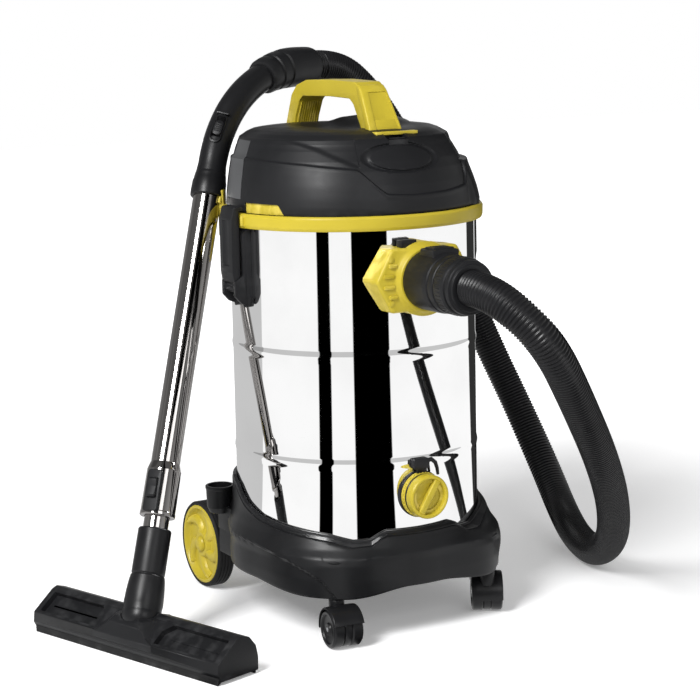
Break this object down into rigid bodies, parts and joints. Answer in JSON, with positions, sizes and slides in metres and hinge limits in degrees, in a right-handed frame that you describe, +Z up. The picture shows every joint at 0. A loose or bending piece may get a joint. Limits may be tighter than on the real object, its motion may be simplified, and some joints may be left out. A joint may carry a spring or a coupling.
{
  "type": "shop vacuum",
  "caption": "Wet and dry shop vacuum: steel drum on a wheeled base, domed motor head with carrying handle, corrugated hose and a parked telescopic wand with its floor tool.",
  "frame": {"origin": "on the floor, under the middle of the machine's box measured without the hose", "axes": "+Z up; -Y is the front, where the suction inlet and the drain are; +X to the right seen from the front"},
  "size_m": [0.8782, 0.7024, 0.7604],
  "materials": {
    "black_plastic": "moulded, fine satin",
    "yellow_plastic": "moulded, satin",
    "polished_steel": "mirror polished stainless",
    "rubber": "soft moulded",
    "zinc_steel": "zinc plated",
    "aluminium": "as cast",
    "motor_steel": "satin paint",
    "filter_paper": "pleated paper",
    "float_plastic": "moulded",
    "chromed_tube": "polished plate",
    "hose_plastic": "corrugated",
    "castor_grey": "moulded",
    "tyre": "soft tread"
  },
  "bodies": {
    "chassis": {"base": "black_plastic", "drum": "polished_steel", "inlet_housing": "yellow_plastic", "inlet_gasket": "rubber", "inlet_screws": "zinc_steel", "inlet_deflector": "black_plastic", "hose_connector": "black_plastic", "hose_collar": "black_plastic", "drain_spout": "yellow_plastic", "drain_seal": "rubber", "cap_strap": "rubber", "rear_axle": "zinc_steel", "axle_caps": "black_plastic", "latch_bracket_left": "yellow_plastic", "latch_bracket_right": "yellow_plastic", "latch_pins": "zinc_steel", "park_clip": "yellow_plastic", "wand_outer_tube": "chromed_tube", "wand_sleeve": "black_plastic", "wand_handle": "black_plastic", "hose_cuff": "black_plastic", "hose": "hose_plastic"},
    "head": {"lid_ring": "yellow_plastic", "lid_seal": "rubber", "motor_hood": "black_plastic", "carry_handle": "yellow_plastic", "motor_plate": "black_plastic", "fan_housing": "black_plastic", "motor": "motor_steel", "filter_cage": "black_plastic", "filter_cartridge": "filter_paper", "cable_gland": "black_plastic", "switch_housing": "black_plastic"},
    "fan": {"impeller": "aluminium", "motor_shaft": "zinc_steel"},
    "shutoff_float": {"float": "float_plastic"},
    "switch_rocker": {"rocker": "black_plastic"},
    "rear_wheel_left": {"rear_tyre_left": "tyre", "rear_hub_left": "yellow_plastic"},
    "rear_wheel_right": {"rear_tyre_right": "tyre", "rear_hub_right": "yellow_plastic"},
    "castor_left": {"castor_fork_left": "black_plastic", "castor_axle_left": "zinc_steel"},
    "castor_right": {"castor_fork_right": "black_plastic", "castor_axle_right": "zinc_steel"},
    "castor_roll_left": {"castor_wheels_left": "castor_grey"},
    "castor_roll_right": {"castor_wheels_right": "castor_grey"},
    "latch_lever_left": {"latch_left": "black_plastic"},
    "latch_lever_right": {"latch_right": "black_plastic"},
    "cap": {"drain_cap": "yellow_plastic"},
    "connector_button": {"release_button": "black_plastic"},
    "wand_lower": {"wand_inner_tube": "chromed_tube", "wand_guide_bush": "black_plastic", "neck_elbow": "black_plastic"},
    "floor_tool": {"nozzle_body": "black_plastic", "nozzle_pin": "zinc_steel", "nozzle_strips": "rubber"},
    "tube_button": {"lock_button": "black_plastic"},
    "suction_slide": {"air_slide": "black_plastic"}
  },
  "joints": [
    {"name": "head_lift", "type": "slide", "parent": "chassis", "child": "head", "axis": [0, 0, 1], "range_m": [0, 0.06]},
    {"name": "latch_left_open", "type": "hinge", "parent": "chassis", "child": "latch_lever_left", "pos_m": [-0.05738, 0.01044, 0.456], "axis": [0, -1, 0], "range_deg": [0, 90]},
    {"name": "latch_right_open", "type": "hinge", "parent": "chassis", "child": "latch_lever_right", "pos_m": [0.30462, 0.01044, 0.456], "axis": [0, 1, 0], "range_deg": [0, 90]},
    {"name": "fan_spin", "type": "hinge", "parent": "head", "child": "fan", "pos_m": [0.12362, 0.01044, 0.57], "axis": [0, 0, 1], "continuous": true},
    {"name": "float_rise", "type": "slide", "parent": "head", "child": "shutoff_float", "axis": [0, 0, 1], "range_m": [0, 0.085]},
    {"name": "switch_rock", "type": "hinge", "parent": "head", "child": "switch_rocker", "pos_m": [0.12362, -0.10556, 0.643], "axis": [1, 0, 0], "range_deg": [-8, 8]},
    {"name": "rear_left_roll", "type": "hinge", "parent": "chassis", "child": "rear_wheel_left", "pos_m": [-0.01658, 0.20094, 0.0615], "axis": [1, 0, 0], "continuous": true},
    {"name": "rear_right_roll", "type": "hinge", "parent": "chassis", "child": "rear_wheel_right", "pos_m": [0.26382, 0.20094, 0.0615], "axis": [1, 0, 0], "continuous": true},
    {"name": "cap_unscrew", "type": "hinge", "parent": "chassis", "child": "cap", "pos_m": [0.12362, -0.16956, 0.1875], "axis": [0, -1, 0], "range_deg": [0, 360]},
    {"name": "connector_release", "type": "slide", "parent": "chassis", "child": "connector_button", "axis": [0, 0, -1], "range_m": [0, 0.003], "stiffness_N_per_m": 1500},
    {"name": "wand_extend", "type": "slide", "parent": "chassis", "child": "wand_lower", "axis": [-0.3359, -0.2914, -0.8957], "range_m": [0, 0.33]},
    {"name": "tube_unlock", "type": "slide", "parent": "chassis", "child": "tube_button", "axis": [-0.3359, -0.2914, -0.8957], "range_m": [0, 0.006], "stiffness_N_per_m": 800},
    {"name": "nozzle_tilt", "type": "hinge", "parent": "wand_lower", "child": "floor_tool", "pos_m": [-0.22138, -0.02556, 0.046], "axis": [0.309, -0.9511, 0], "range_deg": [-20, 60]},
    {"name": "suction_relief", "type": "slide", "parent": "chassis", "child": "suction_slide", "axis": [0.5122, 0.3334, 0.7915], "range_m": [-0.007, 0.007]},
    {"name": "castor_left_swivel", "type": "hinge", "parent": "chassis", "child": "castor_left", "pos_m": [0.00662, -0.13456, 0.07], "axis": [0, 0, 1], "continuous": true},
    {"name": "castor_left_roll", "type": "hinge", "parent": "castor_left", "child": "castor_roll_left", "pos_m": [0.00495, -0.15047, 0.025], "axis": [0.9945, -0.1045, 0], "continuous": true},
    {"name": "castor_right_swivel", "type": "hinge", "parent": "chassis", "child": "castor_right", "pos_m": [0.24062, -0.13456, 0.07], "axis": [0, 0, 1], "continuous": true},
    {"name": "castor_right_roll", "type": "hinge", "parent": "castor_right", "child": "castor_roll_right", "pos_m": [0.24847, -0.12062, 0.025], "axis": [-0.8712, 0.4909, 0], "continuous": true}
  ],
  "couplings": [
    {"joint": "latch_left_open", "follows": "head_lift", "rad_per_m": 26},
    {"joint": "latch_right_open", "follows": "head_lift", "rad_per_m": 26}
  ]
}
